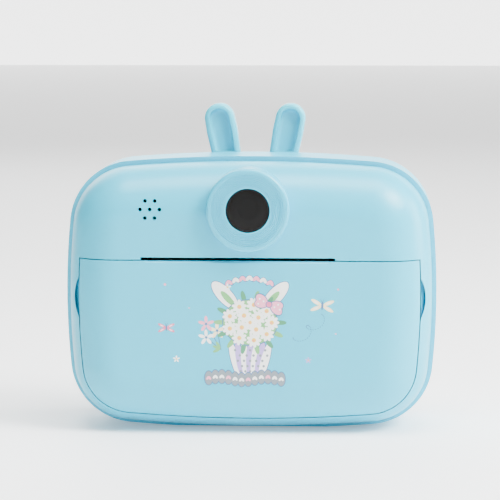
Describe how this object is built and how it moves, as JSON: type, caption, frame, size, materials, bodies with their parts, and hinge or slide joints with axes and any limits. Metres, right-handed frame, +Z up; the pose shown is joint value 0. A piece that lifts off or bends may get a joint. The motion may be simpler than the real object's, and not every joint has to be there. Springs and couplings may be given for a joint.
{
  "type": "toy instant camera",
  "caption": "Rounded toy camera with ear-shaped posts, ringed lens, rear screen and keys, and a drop-down door over a thermal paper roll.",
  "frame": {"origin": "centre of the flat underside of the rear shell", "axes": "+X to the viewer's right when the lens is in view, -Y out of the lens, +Z up through the ears"},
  "size_m": [0.1203, 0.0559, 0.1041],
  "materials": {
    "shell_blue": "satin moulded, fine texture",
    "door_blue": "satin moulded, fine texture",
    "ear_blue": "satin moulded",
    "ring_blue": "semi-gloss with fine rings",
    "clear_cover": "smoked gloss cover",
    "lens_glass": "coated glass",
    "barrel_black": "matt black",
    "board_green": "solder mask",
    "chip_black": "moulded package",
    "steel": "bright steel",
    "zinc_sheet": "zinc plated sheet",
    "aluminium": "extruded",
    "head_ceramic": "glazed head",
    "rubber_grey": "ground rubber",
    "gear_white": "acetal",
    "bush_bronze": "sintered bronze",
    "paper_white": "thermal paper",
    "core_card": "wound card",
    "foam_black": "foam",
    "cell_silver": "pouch foil",
    "speaker_black": "matt black",
    "card_black": "moulded card",
    "display_dark": "display module",
    "key_white": "glossy keys",
    "shutter_pink": "glossy key",
    "light_clear": "light pipe"
  },
  "bodies": {
    "root": {"rear_shell": "shell_blue", "front_shell": "shell_blue", "left_ear": "ear_blue", "right_ear": "ear_blue", "lens_bezel": "ring_blue", "lens_window": "clear_cover", "lens_barrel": "barrel_black", "front_lens": "lens_glass", "rear_lens": "lens_glass", "sensor_board": "board_green", "lens_screws": "steel", "speaker": "speaker_black", "tear_bar": "steel", "hinge_rod": "steel", "printer_chassis": "zinc_sheet", "print_head": "head_ceramic", "head_heat_sink": "aluminium", "head_springs": "steel", "stepper_motor": "zinc_sheet", "idler_pin": "steel", "chassis_screws": "steel", "case_screws": "steel", "mainboard": "board_green", "board_chips": "chip_black", "tact_switches": "steel", "battery": "cell_silver", "usb_socket": "steel", "card_socket": "steel", "display_panel": "display_dark", "display_gasket": "foam_black", "screen_window": "clear_cover", "status_light": "light_clear"},
    "door": {"door_panel": "door_blue", "platen_bushes": "bush_bronze"},
    "platen": {"platen_roller": "rubber_grey", "platen_shaft": "steel", "platen_gear": "gear_white"},
    "idler": {"idler_gear": "gear_white"},
    "pinion": {"motor_pinion": "gear_white", "motor_shaft": "steel"},
    "roll": {"paper_roll": "paper_white", "roll_core": "core_card"},
    "card": {"memory_card": "card_black"},
    "ok_button": {"ok_key": "key_white"},
    "up_button": {"up_key": "key_white"},
    "down_button": {"down_key": "key_white"},
    "left_button": {"left_key": "key_white"},
    "right_button": {"right_key": "key_white"},
    "shutter_button": {"shutter_key": "shutter_pink"},
    "power_button": {"power_key": "key_white"},
    "mode_button": {"mode_key": "key_white"},
    "play_button": {"play_key": "key_white"},
    "print_button": {"print_key": "key_white"}
  },
  "joints": [
    {"name": "door_hinge", "type": "hinge", "parent": "root", "child": "door", "pos_m": [0, -0.0203, 0.0085], "axis": [1, 0, 0], "range_deg": [0, 80]},
    {"name": "platen_spin", "type": "hinge", "parent": "door", "child": "platen", "pos_m": [0, -0.017, 0.0505], "axis": [1, 0, 0], "continuous": true},
    {"name": "idler_spin", "type": "hinge", "parent": "root", "child": "idler", "pos_m": [0, -0.005, 0.0505], "axis": [1, 0, 0], "continuous": true},
    {"name": "pinion_spin", "type": "hinge", "parent": "root", "child": "pinion", "pos_m": [0, 0.001, 0.0585], "axis": [1, 0, 0], "continuous": true},
    {"name": "roll_spin", "type": "hinge", "parent": "root", "child": "roll", "pos_m": [-0.0034, -0.0065, 0.026], "axis": [1, 0, 0], "continuous": true},
    {"name": "card_slide", "type": "slide", "parent": "root", "child": "card", "axis": [-1, 0, 0], "range_m": [0, 0.013]},
    {"name": "ok_press", "type": "slide", "parent": "root", "child": "ok_button", "axis": [0, -1, 0], "range_m": [0, 0.0006], "stiffness_N_per_m": 250},
    {"name": "up_press", "type": "slide", "parent": "root", "child": "up_button", "axis": [0, -1, 0], "range_m": [0, 0.0006], "stiffness_N_per_m": 250},
    {"name": "down_press", "type": "slide", "parent": "root", "child": "down_button", "axis": [0, -1, 0], "range_m": [0, 0.0006], "stiffness_N_per_m": 250},
    {"name": "left_press", "type": "slide", "parent": "root", "child": "left_button", "axis": [0, -1, 0], "range_m": [0, 0.0006], "stiffness_N_per_m": 250},
    {"name": "right_press", "type": "slide", "parent": "root", "child": "right_button", "axis": [0, -1, 0], "range_m": [0, 0.0006], "stiffness_N_per_m": 250},
    {"name": "shutter_press", "type": "slide", "parent": "root", "child": "shutter_button", "axis": [0, -1, 0], "range_m": [0, 0.0006], "stiffness_N_per_m": 250},
    {"name": "power_press", "type": "slide", "parent": "root", "child": "power_button", "axis": [0, -1, 0], "range_m": [0, 0.0006], "stiffness_N_per_m": 250},
    {"name": "mode_press", "type": "slide", "parent": "root", "child": "mode_button", "axis": [0, -1, 0], "range_m": [0, 0.0006], "stiffness_N_per_m": 250},
    {"name": "play_press", "type": "slide", "parent": "root", "child": "play_button", "axis": [0, -1, 0], "range_m": [0, 0.0006], "stiffness_N_per_m": 250},
    {"name": "print_press", "type": "slide", "parent": "root", "child": "print_button", "axis": [0, -1, 0], "range_m": [0, 0.0006], "stiffness_N_per_m": 250}
  ],
  "couplings": [
    {"joint": "idler_spin", "follows": "platen_spin", "ratio": -0.71429},
    {"joint": "pinion_spin", "follows": "platen_spin", "ratio": 1.6667}
  ]
}
